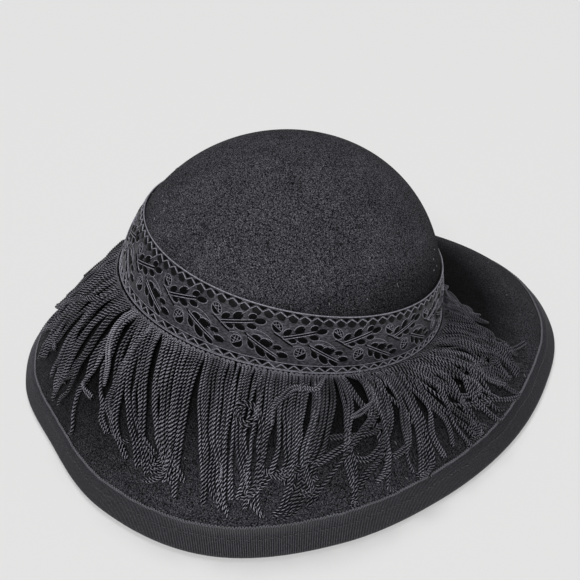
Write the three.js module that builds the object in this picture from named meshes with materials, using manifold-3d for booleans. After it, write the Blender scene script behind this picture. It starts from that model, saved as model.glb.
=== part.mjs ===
// Wool felt hat: a round crown and a wide, drooping, egg-shaped brim blocked from one piece of felt,
// with a ribbon bound round the brim's edge, a woven band round the crown and a fringe below the band.
// Millimetres, +Z up, the front towards -Y, standing by itself on the edge of its brim.
import * as THREE from 'three';
import { mergeVertices } from 'three/addons/utils/BufferGeometryUtils.js';
import Module from 'manifold-3d';

// Felt and ribbon thickness, and the clearance between two pieces
const FELT = 2.0;
const RIBBON = 1.0;
const GAP = 0.3;

// Crown: outside length and width at its foot, and its height above the table
const CROWN_LENGTH = 198;
const CROWN_WIDTH = 182;
const HAT_HEIGHT = 147.5;
const CROWN_FOOT = 52;
const CROWN_LEAN = 0.01;
const CROWN_FULLNESS = 2.15;
const CROWN_ROUNDING = 2.07;

// Seam where the crown turns out into the brim: its mean level, and how far it rises
// towards the back and towards the wearer's left
const SEAM_LEVEL = 56.3;
const BACK_RISE = 17.2;
const LEFT_RISE = 12;
const SEAM_ROUNDING = 8;

// Brim: its reach past the crown's foot at the front
const BRIM_REACH = 101;

// Reach at each section from the front (first row) to the back (last row), as a share of BRIM_REACH;
// both sides of the hat are alike
const REACH_ROWS = [
  { degrees: 0, reach: 1.0 },
  { degrees: 22.5, reach: 0.87 },
  { degrees: 45, reach: 0.68 },
  { degrees: 67.5, reach: 0.595 },
  { degrees: 90, reach: 0.585 },
  { degrees: 112.5, reach: 0.645 },
  { degrees: 135, reach: 0.7 },
  { degrees: 157.5, reach: 0.625 },
  { degrees: 180, reach: 0.54 },
];

// Fall of the brim in degrees below level, where it leaves the seam and at its edge,
// from the front round by the wearer's left
const FALL_ROWS = [
  { degrees: 0, start: -6, end: 50 },
  { degrees: 45, start: 4, end: 60 },
  { degrees: 90, start: 34, end: 55 },
  { degrees: 135, start: 48, end: 58 },
  { degrees: 180, start: 26, end: 66 },
  { degrees: 225, start: 6, end: 68 },
  { degrees: 270, start: 2, end: 66 },
  { degrees: 315, start: -2, end: 52 },
];

// Edge binding: how far the folded ribbon covers the brim, and the width that it stands on
const BINDING_COVER = 12.5;
const BINDING_FOOT = 2.0;

// Band round the crown
const BAND_WIDTH = 32;

// Fringe: a header below the band, and locks of cords that lie down over the brim
const HEADER_THICKNESS = 1.6;
const HEADER_WIDTH = 5;
const FRINGE_LENGTH = 78;
const LOCK_COUNT = 36;
const LOCK_WIDTH = 16;
const LOCK_TAPER = 0.3;
const LOCK_THICKNESS = 2.4;
const LOCK_CLEARANCE = 1.0;
const LOCK_LIFT = 0.7;
const LOCK_EDGE_CLEARANCE = 7;

// Lean of the locks in degrees round the hat between root and tip, and their length as a share of
// FRINGE_LENGTH, from the front round by the wearer's left
const LOCK_ROWS = [
  { degrees: 0, lean: 14, length: 0.28 },
  { degrees: 30, lean: 12, length: 0.6 },
  { degrees: 60, lean: 2, length: 0.95 },
  { degrees: 90, lean: -4, length: 0.95 },
  { degrees: 120, lean: 0, length: 1.0 },
  { degrees: 150, lean: 2, length: 0.95 },
  { degrees: 180, lean: 6, length: 0.9 },
  { degrees: 210, lean: 12, length: 0.95 },
  { degrees: 240, lean: 2, length: 1.0 },
  { degrees: 270, lean: 6, length: 0.9 },
  { degrees: 300, lean: 12, length: 0.85 },
  { degrees: 330, lean: -10, length: 0.4 },
];

// Fineness of the facets
const SECTIONS = 56;
const CROWN_RINGS = 7;
const BRIM_RINGS = 5;
const LOCK_STEPS = 4;

// Places along the seam's rounding, as shares of it: the band's lower edge and the header's top
const BAND_FOOT_SHARE = 0.33;
const HEADER_TOP_SHARE = 0.47;
const HEADER_MIDDLE_SHARE = 0.75;

const HALF_FELT = FELT / 2;
const UNDER_RIBBON = HALF_FELT + GAP;
const OVER_RIBBON = UNDER_RIBBON + RIBBON;
const OVER_HEADER = UNDER_RIBBON + HEADER_THICKNESS;

const radians = THREE.MathUtils.degToRad;

// Smooth value at an angle between evenly spaced values all round the hat
function around(values, angle) {
  const place = THREE.MathUtils.euclideanModulo(angle / (2 * Math.PI), 1) * values.length;
  const row = Math.floor(place);
  const t = place - row;
  const [a, b, c, d] = [-1, 0, 1, 2].map((step) => values[(row + step + values.length) % values.length]);
  const linear = (c - a) * t;
  const square = (2 * a - 5 * b + 4 * c - d) * t * t;
  const cube = (3 * b - a - 3 * c + d) * t * t * t;
  return b + (linear + square + cube) / 2;
}

const halfReaches = REACH_ROWS.map((row) => row.reach);
const reaches = [...halfReaches, ...halfReaches.slice(1, -1).reverse()];
const crownSetback = (BRIM_REACH * (halfReaches[0] - halfReaches[halfReaches.length - 1])) / 2;
const startFalls = FALL_ROWS.map((row) => radians(row.start));
const endFalls = FALL_ROWS.map((row) => radians(row.end));
const lockLeans = LOCK_ROWS.map((row) => radians(row.lean));
const lockLengths = LOCK_ROWS.map((row) => row.length * FRINGE_LENGTH);

// A point of the hat from its angle from the front, its distance from the crown's axis and its height
function spot(angle, radius, height) {
  return new THREE.Vector3(radius * Math.sin(angle), crownSetback - radius * Math.cos(angle), height);
}

// Crown's outside radius at its foot
function footRadius(angle) {
  const a = CROWN_LENGTH / 2;
  const b = CROWN_WIDTH / 2;
  return (a * b) / Math.hypot(b * Math.cos(angle), a * Math.sin(angle));
}

// Middle of the crown's felt at a height
function crownRadius(angle, height) {
  const middleTop = HAT_HEIGHT - HALF_FELT;
  const rise = (height - CROWN_FOOT) / (middleTop - CROWN_FOOT);
  const lean = 1 - CROWN_LEAN * rise;
  if (rise <= 0) {
    return (footRadius(angle) - HALF_FELT) * lean;
  }
  const dome = (1 - Math.min(rise, 1) ** CROWN_FULLNESS) ** (1 / CROWN_ROUNDING);
  return (footRadius(angle) - HALF_FELT) * lean * dome;
}

function seamHeight(angle) {
  return SEAM_LEVEL - BACK_RISE * Math.cos(angle) + LEFT_RISE * Math.sin(angle);
}

// Direction in a section's plane that falls by an angle below level
function falling(angle) {
  return new THREE.Vector2(Math.cos(angle), -Math.sin(angle));
}

// Corner that the seam's rounding replaces, and where the rounding meets the crown and the brim
function seamCurve(angle) {
  const height = seamHeight(angle);
  const corner = new THREE.Vector2(crownRadius(angle, height), height);
  const above = height + SEAM_ROUNDING;
  const top = new THREE.Vector2(crownRadius(angle, above), above);
  const foot = falling(around(startFalls, angle)).multiplyScalar(SEAM_ROUNDING).add(corner);
  return new THREE.QuadraticBezierCurve(top, corner, foot);
}

// Middle of the brim's felt in one section, from the seam's rounding to the cut edge
function brimCurve(angle) {
  const start = seamCurve(angle).v2;
  const outside = footRadius(angle) + BRIM_REACH * around(reaches, angle);
  const edge = new THREE.Vector2(outside - OVER_RIBBON, OVER_RIBBON);
  const pull = start.distanceTo(edge) / 3;
  const startPull = falling(around(startFalls, angle)).multiplyScalar(pull).add(start);
  const endPull = falling(around(endFalls, angle)).multiplyScalar(-pull).add(edge);
  return new THREE.CubicBezierCurve(start, startPull, endPull, edge);
}

// Named places along a section's list of points, filled in by sectionPoints
const AT_BAND_TOP = CROWN_RINGS;
const AT_BAND_FOOT = AT_BAND_TOP + 3;
const AT_HEADER_TOP = AT_BAND_FOOT + 1;
const AT_HEADER_FOOT = AT_HEADER_TOP + 3;
const AT_BINDING = AT_HEADER_FOOT + BRIM_RINGS + 1;
const AT_EDGE = AT_BINDING + 2;

// Middle of the felt in one section: crown top, crown, band, seam, header, brim, binding and edge
function sectionPoints(angle) {
  const seam = seamCurve(angle);
  const bandFoot = seam.getPoint(BAND_FOOT_SHARE);
  const bandTop = bandFoot.y + BAND_WIDTH;
  const points = [];
  const top = HAT_HEIGHT - HALF_FELT;
  for (let ring = 0; ring < CROWN_RINGS; ring += 1) {
    const turn = (ring / CROWN_RINGS) * (Math.PI / 2);
    const height = top - (top - bandTop) * (1 - Math.cos(turn));
    points.push(new THREE.Vector2(crownRadius(angle, height), height));
  }
  const bandMiddle = (bandTop + seam.v0.y) / 2;
  points.push(new THREE.Vector2(crownRadius(angle, bandTop), bandTop));
  points.push(new THREE.Vector2(crownRadius(angle, bandMiddle), bandMiddle));
  points.push(seam.v0);
  points.push(bandFoot);
  points.push(seam.getPoint(HEADER_TOP_SHARE));
  points.push(seam.getPoint(HEADER_MIDDLE_SHARE));
  points.push(seam.v2);
  const brim = brimCurve(angle);
  const length = brim.getLength();
  const headerShare = HEADER_WIDTH / 2 / length;
  const bindingShare = 1 - BINDING_COVER / length;
  points.push(brim.getPointAt(headerShare));
  for (let ring = 1; ring <= BRIM_RINGS; ring += 1) {
    const share = THREE.MathUtils.lerp(headerShare, bindingShare, ring / (BRIM_RINGS + 1));
    points.push(brim.getPointAt(share));
  }
  points.push(brim.getPointAt(bindingShare));
  points.push(brim.getPointAt((1 + bindingShare) / 2));
  points.push(brim.getPointAt(1));
  return points;
}

// Direction along a section and out of the felt, at each of its points
function sectionFrames(points) {
  const runs = points.slice(1).map((point, k) => point.clone().sub(points[k]).normalize());
  return points.map((point, k) => {
    const before = runs[Math.max(k - 1, 0)];
    const after = runs[Math.min(k, runs.length - 1)];
    const along = k === 0 ? new THREE.Vector2(1, 0) : before.clone().add(after).normalize();
    return { point, along, out: new THREE.Vector2(-along.y, along.x) };
  });
}

const sections = Array.from({ length: SECTIONS }, (unused, k) => {
  const angle = (k / SECTIONS) * 2 * Math.PI;
  return { angle, frames: sectionFrames(sectionPoints(angle)) };
});

// Place in a section's plane, from a frame and lengths along it and out of it
function beside(frame, along, out) {
  return frame.point.clone().addScaledVector(frame.along, along).addScaledVector(frame.out, out);
}

// Ring of points round the hat from a rule that gives each section's place
function ring(rule) {
  return sections.map((section) => {
    const place = rule(section.frames);
    return spot(section.angle, place.x, place.y);
  });
}

// Rings that keep one distance out of the felt's middle, from one place of the section to another
function rings(from, to, out) {
  const step = Math.sign(to - from);
  const list = [];
  for (let k = from; k !== to + step; k += step) {
    list.push(ring((frames) => beside(frames[k], 0, out)));
  }
  return list;
}

// Closed surface through rings of points; a ring of one point is a pole
function skin(list, closed) {
  const position = [];
  const index = [];
  const starts = list.map((points) => {
    const start = position.length / 3;
    points.forEach((point) => position.push(point.x, point.y, point.z));
    return start;
  });
  const pairs = closed ? list.length : list.length - 1;
  for (let j = 0; j < pairs; j += 1) {
    const k = (j + 1) % list.length;
    const count = Math.max(list[j].length, list[k].length);
    for (let i = 0; i < count; i += 1) {
      const next = (i + 1) % count;
      const a = starts[j] + (i % list[j].length);
      const b = starts[k] + (i % list[k].length);
      const c = starts[k] + (next % list[k].length);
      const d = starts[j] + (next % list[j].length);
      if (b !== c) {
        index.push(a, b, c);
      }
      if (a !== d) {
        index.push(a, c, d);
      }
    }
  }
  const geometry = new THREE.BufferGeometry();
  geometry.setAttribute('position', new THREE.Float32BufferAttribute(position, 3));
  geometry.setIndex(index);
  return geometry;
}

// Felt body: crown and brim in one hollow shell
function feltBody() {
  const outside = rings(1, AT_EDGE, HALF_FELT);
  const inside = rings(AT_EDGE, 1, -HALF_FELT);
  const topPole = [spot(0, 0, HAT_HEIGHT)];
  const innerPole = [spot(0, 0, HAT_HEIGHT - FELT)];
  return skin([topPole, ...outside, ...inside, innerPole], false);
}

// Edge binding: ribbon folded over the brim's edge, with a narrow level foot all round
function brimBinding() {
  const turnTo = (share) => ring((frames) => {
    const edge = frames[AT_EDGE];
    const first = edge.out.angle();
    const last = -Math.PI / 2 + Math.atan2(BINDING_FOOT / 2, OVER_RIBBON);
    const angle = THREE.MathUtils.lerp(first, last, share);
    return edge.point.clone().add(new THREE.Vector2(Math.cos(angle), Math.sin(angle)).multiplyScalar(OVER_RIBBON));
  });
  const foot = (side) => ring((frames) => {
    const under = new THREE.Vector2((side * BINDING_FOOT) / 2, -OVER_RIBBON);
    return frames[AT_EDGE].point.clone().add(under);
  });
  const lining = (along, out) => ring((frames) => beside(frames[AT_EDGE], along, out));
  return skin([
    ...rings(AT_BINDING, AT_EDGE, OVER_RIBBON),
    turnTo(1 / 3),
    turnTo(2 / 3),
    foot(1),
    foot(-1),
    ...rings(AT_EDGE, AT_BINDING, -OVER_RIBBON),
    ...rings(AT_BINDING, AT_EDGE, -UNDER_RIBBON),
    lining(2 * GAP, -HALF_FELT),
    lining(2 * GAP, HALF_FELT),
    ...rings(AT_EDGE, AT_BINDING, UNDER_RIBBON),
  ], true);
}

// Band: woven ribbon round the crown, its lower edge on the seam's rounding
function hatBand() {
  return skin([
    ...rings(AT_BAND_TOP, AT_BAND_FOOT, OVER_RIBBON),
    ...rings(AT_BAND_FOOT, AT_BAND_TOP, UNDER_RIBBON),
  ], true);
}

// Point over the brim from its angle, its length down the brim and its distance out of the felt's middle
function overBrim(angle, length, out) {
  const brim = brimCurve(angle);
  const share = THREE.MathUtils.clamp(length / brim.getLength(), 0, 1);
  const along = brim.getTangentAt(share);
  const place = brim.getPointAt(share).addScaledVector(new THREE.Vector2(-along.y, along.x), out);
  return spot(angle, place.x, place.y);
}

// One lock: a flat, tapering strip of cords that lies over the brim
function lock(number) {
  const root = ((number + 0.5) / LOCK_COUNT) * 2 * Math.PI;
  const lean = around(lockLeans, root);
  const room = brimCurve(root + lean).getLength() - BINDING_COVER - LOCK_EDGE_CLEARANCE;
  const sideways = (lean * footRadius(root) * 4) / 3;
  const length = around(lockLengths, root);
  const reach = Math.min(Math.sqrt(Math.max(length ** 2 - sideways ** 2, (length / 2) ** 2)), room);
  const under = HALF_FELT + LOCK_CLEARANCE + (number % 2) * LOCK_LIFT;
  const over = under + LOCK_THICKNESS;
  const strip = [];
  for (let step = 0; step <= LOCK_STEPS; step += 1) {
    const share = step / LOCK_STEPS;
    const down = THREE.MathUtils.lerp(HEADER_WIDTH / 4, reach, share);
    const angle = root + lean * share;
    const radius = brimCurve(angle).getPointAt(0.5).x;
    const slant = Math.atan2(lean * radius, reach);
    const half = (LOCK_WIDTH / 2) * (1 - LOCK_TAPER * share);
    const across = (half * Math.cos(slant)) / radius;
    const shift = -half * Math.sin(slant);
    strip.push([
      overBrim(angle - across, down - shift, (under + over) / 2),
      overBrim(angle, down, over),
      overBrim(angle + across, down + shift, (under + over) / 2),
      overBrim(angle + across, down + shift, under),
      overBrim(angle - across, down - shift, under),
    ]);
  }
  const centre = (points) => points.reduce((sum, p) => sum.add(p), new THREE.Vector3()).divideScalar(points.length);
  return skin([[centre(strip[0])], ...strip, [centre(strip[LOCK_STEPS])]], false);
}

const wasm = await Module();
wasm.setup();

function solid(geometry) {
  const merged = mergeVertices(geometry);
  return new wasm.Manifold(new wasm.Mesh({
    numProp: 3,
    vertProperties: new Float32Array(merged.attributes.position.array),
    triVerts: new Uint32Array(merged.index.array),
  }));
}

function surface(body) {
  const mesh = body.getMesh();
  const geometry = new THREE.BufferGeometry();
  geometry.setAttribute('position', new THREE.BufferAttribute(mesh.vertProperties, 3));
  geometry.setIndex(new THREE.BufferAttribute(mesh.triVerts, 1));
  return geometry;
}

// Fringe: header below the band with the locks joined to it
function fringe() {
  const header = skin([
    ...rings(AT_HEADER_TOP, AT_HEADER_TOP, OVER_RIBBON),
    ...rings(AT_HEADER_TOP + 1, AT_HEADER_FOOT, OVER_HEADER),
    ...rings(AT_HEADER_FOOT, AT_HEADER_TOP, UNDER_RIBBON),
  ], true);
  let body = solid(header);
  for (let number = 0; number < LOCK_COUNT; number += 1) {
    body = body.add(solid(lock(number)));
  }
  return surface(body);
}

function fabric(color, roughness) {
  return new THREE.MeshStandardMaterial({ color, roughness, metalness: 0 });
}

function piece(name, geometry, material) {
  const mesh = new THREE.Mesh(geometry, material);
  mesh.name = name;
  return mesh;
}

const hat = new THREE.Group();
hat.add(piece('felt_body', feltBody(), fabric('#2f2e35', 0.95)));
hat.add(piece('brim_binding', brimBinding(), fabric('#4a4950', 0.75)));
hat.add(piece('hat_band', hatBand(), fabric('#5c5a5f', 0.6)));
hat.add(piece('fringe', fringe(), fabric('#3a393d', 0.5)));

export default hat;
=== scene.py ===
import math

import bpy
import numpy as np
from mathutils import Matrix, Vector


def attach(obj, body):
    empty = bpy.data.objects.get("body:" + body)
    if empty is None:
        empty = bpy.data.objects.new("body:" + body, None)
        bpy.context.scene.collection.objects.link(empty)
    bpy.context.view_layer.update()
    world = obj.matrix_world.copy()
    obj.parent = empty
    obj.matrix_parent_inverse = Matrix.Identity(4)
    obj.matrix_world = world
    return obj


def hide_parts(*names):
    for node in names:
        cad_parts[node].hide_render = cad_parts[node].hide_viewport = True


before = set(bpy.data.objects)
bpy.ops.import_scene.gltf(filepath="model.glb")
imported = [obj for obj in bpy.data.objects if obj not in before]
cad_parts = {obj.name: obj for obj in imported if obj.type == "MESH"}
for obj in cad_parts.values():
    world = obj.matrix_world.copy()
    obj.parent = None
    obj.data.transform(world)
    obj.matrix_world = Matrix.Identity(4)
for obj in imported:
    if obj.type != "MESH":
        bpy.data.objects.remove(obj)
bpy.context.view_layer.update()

# Wide felt hat with a ribbon-bound brim, a woven oak-leaf band and a fringe of twisted cords.
# Metres. Angles go round the hat from its front, -Y, by the wearer's left, +X.
random = np.random.default_rng(29)
MM = 0.001

# Camera and light
CAMERA_AZIMUTH = math.radians(-123)
CAMERA_ELEVATION = math.radians(31)
CAMERA_FIELD = math.radians(40)
CAMERA_DISTANCE = 0.4721
CAMERA_TARGET = Vector((-0.01508, 0.02781, 0.0600))


def toward(azimuth, elevation):
    level = math.cos(elevation)
    return Vector((math.sin(azimuth) * level, -math.cos(azimuth) * level, math.sin(elevation)))


def make_camera():
    camera = bpy.data.objects.new("camera", bpy.data.cameras.new("camera"))
    bpy.context.scene.collection.objects.link(camera)
    camera.data.angle = CAMERA_FIELD
    camera.data.clip_start = 0.01
    camera.data.clip_end = 50
    back = toward(CAMERA_AZIMUTH, CAMERA_ELEVATION)
    camera.location = CAMERA_TARGET + back * CAMERA_DISTANCE
    camera.rotation_mode = "QUATERNION"
    camera.rotation_quaternion = (-back).to_track_quat("-Z", "Y")
    bpy.context.scene.camera = camera
    bpy.context.scene.view_settings.view_transform = "Standard"


make_camera()

# Sizes of the blocked felt in millimetres, as in the CAD model
HALF_FELT = 1.0
UNDER_RIBBON = 1.3
OVER_RIBBON = 2.3
CROWN_LENGTH = 198
CROWN_WIDTH = 182
HAT_HEIGHT = 147.5
CROWN_FOOT = 52
CROWN_LEAN = 0.01
CROWN_FULLNESS = 2.15
CROWN_ROUNDING = 2.07
SEAM_LEVEL = 56.3
BACK_RISE = 17.2
LEFT_RISE = 12
SEAM_ROUNDING = 8
BRIM_REACH = 101
HALF_REACHES = [1.0, 0.87, 0.68, 0.595, 0.585, 0.645, 0.7, 0.625, 0.54]
START_FALLS = [-6, 4, 34, 48, 26, 6, 2, -2]
END_FALLS = [50, 60, 55, 58, 66, 68, 66, 52]
BINDING_COVER = 12.5
BINDING_FOOT = 2.0
BAND_WIDTH = 32
BAND_FOOT_SHARE = 0.33
REACHES = HALF_REACHES + HALF_REACHES[-2:0:-1]
SETBACK = BRIM_REACH * (HALF_REACHES[0] - HALF_REACHES[-1]) / 2


def around(values, angle):
    """Smooth value at angles between evenly spaced values all round the hat."""
    values = np.asarray(values, float)
    place = np.mod(np.asarray(angle) / (2 * np.pi), 1) * len(values)
    row = np.floor(place).astype(int)
    t = place - row
    a, b, c, d = (values[(row + step) % len(values)] for step in (-1, 0, 1, 2))
    linear = (c - a) * t
    square = (2 * a - 5 * b + 4 * c - d) * t * t
    cube = (3 * b - a - 3 * c + d) * t * t * t
    return b + (linear + square + cube) / 2


def foot_radius(angle):
    a, b = CROWN_LENGTH / 2, CROWN_WIDTH / 2
    return a * b / np.hypot(b * np.cos(angle), a * np.sin(angle))


def crown_radius(angle, height):
    """Middle of the crown's felt at a height."""
    rise = (height - CROWN_FOOT) / (HAT_HEIGHT - HALF_FELT - CROWN_FOOT)
    dome = (1 - np.clip(rise, 0, 1) ** CROWN_FULLNESS) ** (1 / CROWN_ROUNDING)
    return (foot_radius(angle) - HALF_FELT) * (1 - CROWN_LEAN * rise) * dome


def seam_height(angle):
    return SEAM_LEVEL - BACK_RISE * np.cos(angle) + LEFT_RISE * np.sin(angle)


def pair(radius, height):
    return np.stack(np.broadcast_arrays(radius, height), -1)


def seam_points(angle, share):
    """Points on the rounding between crown and brim: share 0 on the crown, 1 on the brim."""
    height = seam_height(angle)
    fall = np.radians(around(START_FALLS, angle))
    corner = pair(crown_radius(angle, height), height)
    top = pair(crown_radius(angle, height + SEAM_ROUNDING), height + SEAM_ROUNDING)
    foot = corner + SEAM_ROUNDING * pair(np.cos(fall), -np.sin(fall))
    t = share[..., None]
    return (1 - t) ** 2 * top + 2 * t * (1 - t) * corner + t * t * foot


def brim_points(angle, share):
    """Points on the middle of the brim's felt: share 0 at the rounding, 1 at the cut edge."""
    start = seam_points(angle, np.ones_like(angle))
    outside = foot_radius(angle) + BRIM_REACH * around(REACHES, angle)
    edge = pair(outside - OVER_RIBBON, np.full_like(outside, OVER_RIBBON))
    pull = np.linalg.norm(edge - start, axis=-1, keepdims=True) / 3
    first = np.radians(around(START_FALLS, angle))
    last = np.radians(around(END_FALLS, angle))
    second = start + pull * pair(np.cos(first), -np.sin(first))
    third = edge - pull * pair(np.cos(last), -np.sin(last))
    t = share[..., None]
    return (
        (1 - t) ** 3 * start + 3 * t * (1 - t) ** 2 * second
        + 3 * t * t * (1 - t) * third + t ** 3 * edge
    )


def run_along(line):
    """Length along a line of points, up to each of them."""
    return np.concatenate([[0], np.cumsum(np.linalg.norm(np.diff(line, axis=0), axis=1))])


# Table of the felt's middle: rows of angles, columns of length down the section from the band's
# lower edge, upwards below zero and downwards above it
TABLE_ANGLES = 720
TABLE_STEP = 0.5
TABLE_UP = 60
TABLE_DOWN = 150


def make_table():
    angles = np.arange(TABLE_ANGLES) * 2 * np.pi / TABLE_ANGLES
    grid = np.arange(-TABLE_UP, TABLE_DOWN + TABLE_STEP, TABLE_STEP)
    table = np.zeros((TABLE_ANGLES, len(grid), 2))
    edges = np.zeros(TABLE_ANGLES)
    tops = np.zeros(TABLE_ANGLES)
    for k, angle in enumerate(angles):
        seam_top = seam_height(angle) + SEAM_ROUNDING
        heights = np.linspace(min(seam_top + TABLE_UP, HAT_HEIGHT - 3), seam_top, 120)
        crown = pair(crown_radius(angle, heights), heights)
        shares = np.linspace(0, 1, 61)[1:]
        seam = seam_points(np.full(60, angle), shares)
        brim = brim_points(np.full(240, angle), np.linspace(0, 1, 241)[1:])
        line = np.concatenate([crown, seam, brim])
        run = run_along(line)
        foot = seam_points(np.array([angle]), np.array([BAND_FOOT_SHARE]))[0]
        zero = run[np.argmin(np.linalg.norm(line - foot, axis=1))]
        run = run - zero
        last = (line[-1] - line[-2]) / np.linalg.norm(line[-1] - line[-2])
        line = np.concatenate([line, [line[-1] + last * 80]])
        run = np.concatenate([run, [run[-1] + 80]])
        edges[k] = run[-2]
        tops[k] = np.interp(-(foot[1] + BAND_WIDTH), -line[:, 1], run)
        for axis in (0, 1):
            table[k, :, axis] = np.interp(grid, run, line[:, axis])
    return grid, table, edges, tops


GRID, TABLE, EDGE_RUNS, BAND_TOP_RUNS = make_table()
ALONG = np.gradient(TABLE, TABLE_STEP, axis=1)
ALONG /= np.linalg.norm(ALONG, axis=2, keepdims=True)


def place_in(table, angle, down):
    """Value of a table at angles and lengths down the section, between its rows and columns."""
    row = np.mod(angle / (2 * np.pi), 1) * TABLE_ANGLES
    column = np.clip((down - GRID[0]) / TABLE_STEP, 0, len(GRID) - 1.001)
    i, j = np.floor(row).astype(int), np.floor(column).astype(int)
    s, t = (row - i)[..., None], (column - j)[..., None]
    i0, i1 = i % TABLE_ANGLES, (i + 1) % TABLE_ANGLES
    near = table[i0, j] * (1 - t) + table[i0, j + 1] * t
    far = table[i1, j] * (1 - t) + table[i1, j + 1] * t
    return near * (1 - s) + far * s


def round_row(values, angle):
    """Value of one number per table angle, between its rows."""
    row = np.mod(np.asarray(angle) / (2 * np.pi), 1) * TABLE_ANGLES
    i = np.floor(row).astype(int)
    s = row - i
    return values[i % TABLE_ANGLES] * (1 - s) + values[(i + 1) % TABLE_ANGLES] * s


def spot(angle, radius, height):
    """Point in metres from millimetres round the crown's axis."""
    x = radius * np.sin(angle)
    y = SETBACK - radius * np.cos(angle)
    return np.stack(np.broadcast_arrays(x, y, height), -1) * MM


def on_felt(angle, down, out):
    """Points and outward directions at a distance out of the felt's middle."""
    angle, down, out = np.broadcast_arrays(np.asarray(angle, float), down, out)
    place = place_in(TABLE, angle, down)
    along = place_in(ALONG, angle, down)
    radius = place[..., 0] - along[..., 1] * out
    height = place[..., 1] + along[..., 0] * out
    normal = np.stack([
        -along[..., 1] * np.sin(angle), along[..., 1] * np.cos(angle), along[..., 0],
    ], -1)
    return spot(angle, radius, height), normal


# Meshes
def add_mesh(name, verts, faces, material, slot, replaces=None, uv=None):
    """Object from an array of points and arrays of faces, each array with one corner count."""
    verts = np.ascontiguousarray(np.asarray(verts, np.float32).reshape(-1, 3))
    faces = [np.asarray(f, np.int32) for f in faces if len(f)]
    corners = np.concatenate([f.ravel() for f in faces])
    sizes = np.concatenate([np.full(len(f), f.shape[1], np.int32) for f in faces])
    starts = np.concatenate([[0], np.cumsum(sizes)[:-1]]).astype(np.int32)
    mesh = bpy.data.meshes.new(name)
    mesh.vertices.add(len(verts))
    mesh.vertices.foreach_set("co", verts.ravel())
    mesh.loops.add(len(corners))
    mesh.loops.foreach_set("vertex_index", corners)
    mesh.polygons.add(len(sizes))
    mesh.polygons.foreach_set("loop_start", starts)
    mesh.polygons.foreach_set("use_smooth", np.full(len(sizes), True))
    if uv is not None:
        layer = mesh.uv_layers.new(name="relief")
        layer.data.foreach_set("uv", np.asarray(uv, np.float32).reshape(-1, 2)[corners].ravel())
    mesh.update(calc_edges=True)
    mesh.materials.append(material)
    piece = bpy.data.objects.new(name, mesh)
    bpy.context.scene.collection.objects.link(piece)
    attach(piece, "root")
    if replaces:
        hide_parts(replaces)


def grid_faces(rows, columns, wrap_rows, wrap_columns, flip=False):
    """Quads of a grid of points, rows first, closed round in either direction."""
    i = np.arange(rows if wrap_rows else rows - 1)
    j = np.arange(columns if wrap_columns else columns - 1)
    i, j = np.meshgrid(i, j, indexing="ij")
    a = i * columns + j
    b = i * columns + (j + 1) % columns
    c = ((i + 1) % rows) * columns + (j + 1) % columns
    d = ((i + 1) % rows) * columns + j
    quads = np.stack([a, b, c, d], -1).reshape(-1, 4)
    return quads[:, ::-1] if flip else quads


def tubes(points, outs, section):
    """Closed tubes along rows of points: section holds (side, out) offsets in metres."""
    points, outs = np.asarray(points, float), np.asarray(outs, float)
    count, steps = points.shape[:2]
    ahead = np.gradient(points, axis=1)
    ahead /= np.linalg.norm(ahead, axis=-1, keepdims=True) + 1e-12
    side = np.cross(ahead, outs)
    side /= np.linalg.norm(side, axis=-1, keepdims=True) + 1e-12
    up = np.cross(side, ahead)
    section = np.broadcast_to(section, (count, steps) + np.shape(section)[-2:])
    verts = (
        points[:, :, None]
        + side[:, :, None] * section[..., 0:1]
        + up[:, :, None] * section[..., 1:2]
    )
    sides = section.shape[2]
    one = grid_faces(steps, sides, False, True)
    base = (np.arange(count) * steps * sides)[:, None, None]
    quads = (one[None] + base).reshape(-1, 4)
    first = np.arange(sides)[None] + base[:, 0]
    last = first[:, ::-1] + (steps - 1) * sides
    return verts.reshape(-1, 3), [quads[:, ::-1], first, last]


def circle(radius, sides, start=0.0):
    turn = start + np.arange(sides) * 2 * np.pi / sides
    return np.stack([np.cos(turn) * radius, np.sin(turn) * radius], -1)


def twisted(points, outs, spin, offset, size, tone):
    """Two strands turned round each other along rows of points, with how far out each point is."""
    ahead = np.gradient(points, axis=1)
    side = np.cross(ahead, outs)
    side /= np.linalg.norm(side, axis=-1, keepdims=True) + 1e-12
    up = np.cross(side, ahead)
    up /= np.linalg.norm(up, axis=-1, keepdims=True) + 1e-12
    section = circle(1, 3, np.pi / 2)
    strands, relief = [], []
    for half in (0, np.pi):
        across = (np.cos(spin + half) * offset)[..., None]
        above = (np.sin(spin + half) * offset)[..., None]
        middle = points + side * across + up * above
        strands.append(tubes(middle, outs, section * size[..., None, None]))
        # How far out each point is; the cord material paints highlights on the crests and shade in the
        # grooves from it.
        reach = np.hypot(across + section[:, 0] * size[..., None], above + section[:, 1] * size[..., None])
        relief.append(np.clip(reach / (offset + size)[..., None] * 2.4 - 1.4, 0, 1).ravel())
    relief = np.concatenate(relief)
    # Each cord's painted light and shade, given to all its points.
    lights_and_tones = np.tile(np.repeat(tone, points.shape[1] * len(section)), 2)
    return *merge(strands), np.stack([relief, lights_and_tones], -1)


def merge(parts):
    """One set of points and faces from several."""
    verts, faces, base = [], [], 0
    for v, fs in parts:
        verts.append(v)
        faces.extend(np.asarray(f) + base for f in fs)
        base += len(v)
    return np.concatenate(verts), faces


# Materials
def grey(value):
    return value, value, value


def shader(name, color, roughness, sheen=0.0, sheen_roughness=0.5):
    material = bpy.data.materials.new(name)
    material.use_nodes = True
    tree = material.node_tree
    bsdf = tree.nodes["Principled BSDF"]
    bsdf.inputs["Base Color"].default_value = (*color, 1)
    bsdf.inputs["Roughness"].default_value = roughness
    bsdf.inputs["Sheen Weight"].default_value = sheen
    bsdf.inputs["Sheen Roughness"].default_value = sheen_roughness
    return material, tree, bsdf


def noise(tree, source, scale, detail=2.0, rough=0.5):
    made = tree.nodes.new("ShaderNodeTexNoise")
    made.inputs["Scale"].default_value = scale
    made.inputs["Detail"].default_value = detail
    made.inputs["Roughness"].default_value = rough
    tree.links.new(source, made.inputs["Vector"])
    return made.outputs["Fac"]


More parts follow.
